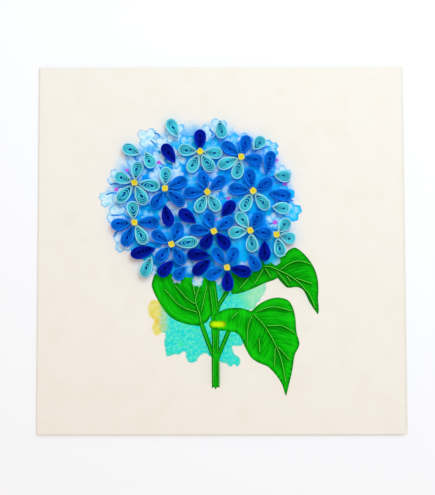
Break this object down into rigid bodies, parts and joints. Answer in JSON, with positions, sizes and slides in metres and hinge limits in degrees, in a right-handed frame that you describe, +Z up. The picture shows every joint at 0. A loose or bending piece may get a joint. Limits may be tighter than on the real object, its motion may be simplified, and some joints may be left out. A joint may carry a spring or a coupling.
{
  "type": "quilled greeting card",
  "caption": "Square folded card lying front up, its front quilled with a hydrangea of rolled paper petals on edge over printed leaves and a stem.",
  "frame": {"origin": "middle of the folded card's footprint, on the surface it lies on", "axes": "+X to the right of the picture, away from the fold; +Y to the picture's top; +Z up out of the front"},
  "size_m": [0.15, 0.15, 0.0053],
  "materials": {
    "card_stock": "smooth cream card, lightly textured",
    "pale_paper": "matt pale aqua quilling paper",
    "blue_paper": "matt mid blue quilling paper",
    "navy_paper": "matt navy quilling paper",
    "yellow_paper": "matt yellow paper",
    "leaf_paper": "matt green paper strip",
    "floret_print": "print in soft blues on the card",
    "leaf_print": "print in bright greens on the card",
    "wash_print": "aqua wash printed on the card",
    "yellow_print": "pale yellow wash printed on the card"
  },
  "bodies": {
    "root": {"card": "card_stock", "flower_01_centre": "yellow_paper", "flower_01_navy_petals": "navy_paper", "flower_01_pale_petals": "pale_paper", "flower_02_blue_petals": "blue_paper", "flower_02_centre": "yellow_paper", "flower_02_pale_petals": "pale_paper", "flower_03_centre": "yellow_paper", "flower_03_pale_petals": "pale_paper", "flower_04_blue_petals": "blue_paper", "flower_04_centre": "yellow_paper", "flower_04_pale_petals": "pale_paper", "flower_05_blue_petals": "blue_paper", "flower_05_centre": "yellow_paper", "flower_05_pale_petals": "pale_paper", "flower_06_blue_petals": "blue_paper", "flower_06_centre": "yellow_paper", "flower_06_pale_petals": "pale_paper", "flower_07_blue_petals": "blue_paper", "flower_07_centre": "yellow_paper", "flower_07_pale_petals": "pale_paper", "flower_08_blue_petals": "blue_paper", "flower_08_centre": "yellow_paper", "flower_08_pale_petals": "pale_paper", "flower_09_blue_petals": "blue_paper", "flower_09_centre": "yellow_paper", "flower_09_navy_petals": "navy_paper", "flower_10_blue_petals": "blue_paper", "flower_10_centre": "yellow_paper", "flower_10_pale_petals": "pale_paper", "flower_11_centre": "yellow_paper", "flower_11_pale_petals": "pale_paper", "flower_12_blue_petals": "blue_paper", "flower_12_centre": "yellow_paper", "flower_12_navy_petals": "navy_paper", "leaf_left_veins": "leaf_paper", "leaf_lower_veins": "leaf_paper", "leaf_upper_veins": "leaf_paper", "loose_blue_petals": "blue_paper", "loose_navy_petals": "navy_paper", "loose_pale_petals": "pale_paper", "print_florets": "floret_print", "print_leaf_left": "leaf_print", "print_leaf_lower": "leaf_print", "print_leaf_upper": "leaf_print", "print_stem": "leaf_print", "print_wash": "wash_print", "print_yellow": "yellow_print", "stem_strips": "leaf_paper"}
  },
  "joints": []
}
